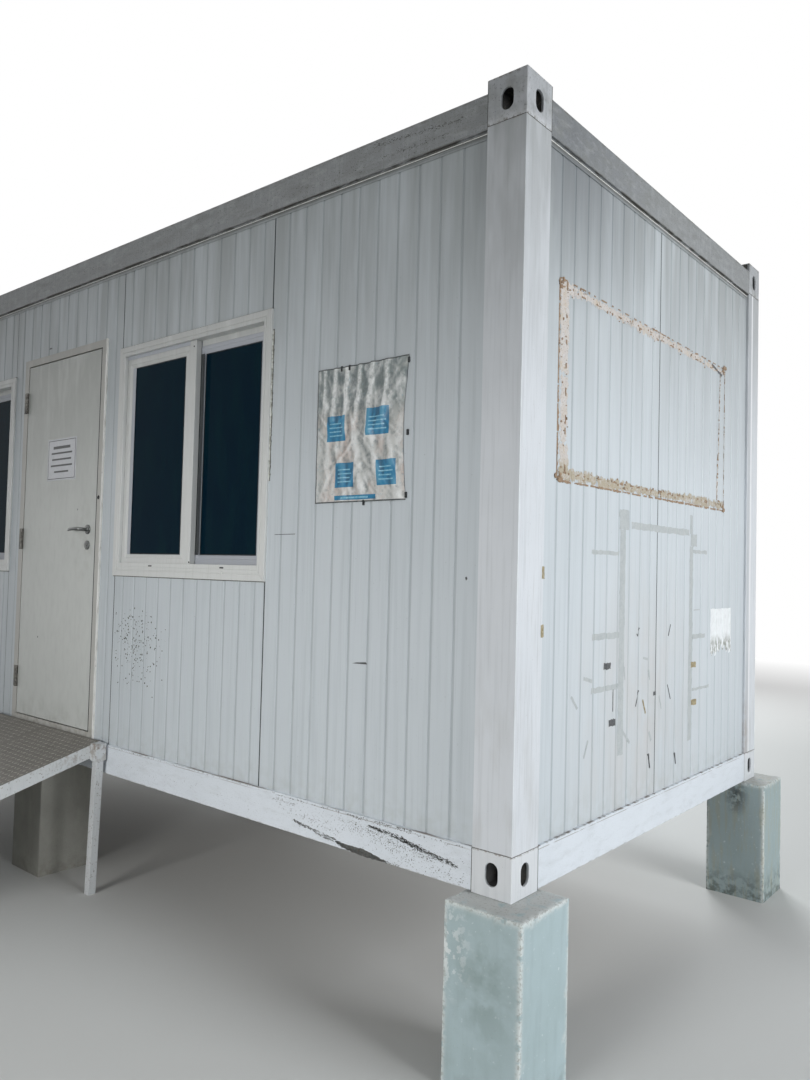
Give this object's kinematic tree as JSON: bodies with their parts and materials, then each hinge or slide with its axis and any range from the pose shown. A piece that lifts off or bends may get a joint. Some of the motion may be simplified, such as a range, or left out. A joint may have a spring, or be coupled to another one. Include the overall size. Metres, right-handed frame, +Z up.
{
  "type": "portable site cabin",
  "caption": "Flat-pack steel cabin of panels between corner posts, with an outward-opening door, sliding windows, a plated ramp and concrete piers under it.",
  "frame": {"origin": "centre of the bounding box on the ground, under the middle of the cabin and its ramp", "axes": "+X along the cabin towards the pictured end wall, +Y from the door side to the back, +Z up"},
  "size_m": [6.275, 5.295, 3.39],
  "materials": {
    "frame_paint": "off-white paint, dusty",
    "wall_paint": "pale grey coated sheet, satin",
    "roof_sheet": "coated roof sheet, weathered",
    "joist_paint": "dark primer",
    "floor_board": "matte board",
    "ceiling_paint": "satin",
    "window_plastic": "white, semi-gloss",
    "pane": "clear, in front of a dark room",
    "door_paint": "off-white paint, satin",
    "hinge_steel": "dull steel with rust",
    "handle_steel": "satin",
    "notice_paper": "white sheet in a clear sleeve",
    "banner_vinyl": "coated sheet, creased",
    "concrete": "painted concrete, chipped",
    "chequer_plate": "worn grey plate",
    "ramp_paint": "white paint with rust"
  },
  "bodies": {
    "cabin": {"bottom_castings": "frame_paint", "top_casting_front_right": "frame_paint", "top_casting_front_left": "frame_paint", "top_casting_back_right": "frame_paint", "top_casting_back_left": "frame_paint", "corner_posts": "frame_paint", "bottom_rail_front": "frame_paint", "bottom_rail_back": "frame_paint", "bottom_rail_right": "frame_paint", "bottom_rail_left": "frame_paint", "top_rail_front": "frame_paint", "top_rail_back": "frame_paint", "top_rail_right": "frame_paint", "top_rail_left": "frame_paint", "floor_joists": "joist_paint", "floor_deck": "floor_board", "ceiling_panel": "ceiling_paint", "roof_sheets": "roof_sheet", "front_panel_1": "wall_paint", "front_panel_2": "wall_paint", "front_panel_3": "wall_paint", "front_panel_4": "wall_paint", "front_panel_5": "wall_paint", "back_wall": "wall_paint", "right_wall": "wall_paint", "left_wall": "wall_paint", "window_frame_right": "window_plastic", "window_frame_left": "window_plastic", "sashes_right": "window_plastic", "sashes_left": "window_plastic", "window_glass": "pane", "door_frame": "door_paint", "hinge_posts": "hinge_steel", "banner": "banner_vinyl", "front_piers": "concrete", "back_piers": "concrete", "ramp_plates": "chequer_plate", "ramp_sides": "ramp_paint", "ramp_crossbars": "ramp_paint", "ramp_legs": "ramp_paint"},
    "door": {"door_leaf": "door_paint", "door_handle": "handle_steel", "door_lock": "handle_steel", "door_notice": "notice_paper", "hinge_leaves": "hinge_steel"}
  },
  "joints": [
    {"name": "door_hinge", "type": "hinge", "parent": "cabin", "child": "door", "pos_m": [-0.4015, 0.0945, 1.807], "axis": [0, 0, -1], "range_deg": [0, 170]}
  ]
}
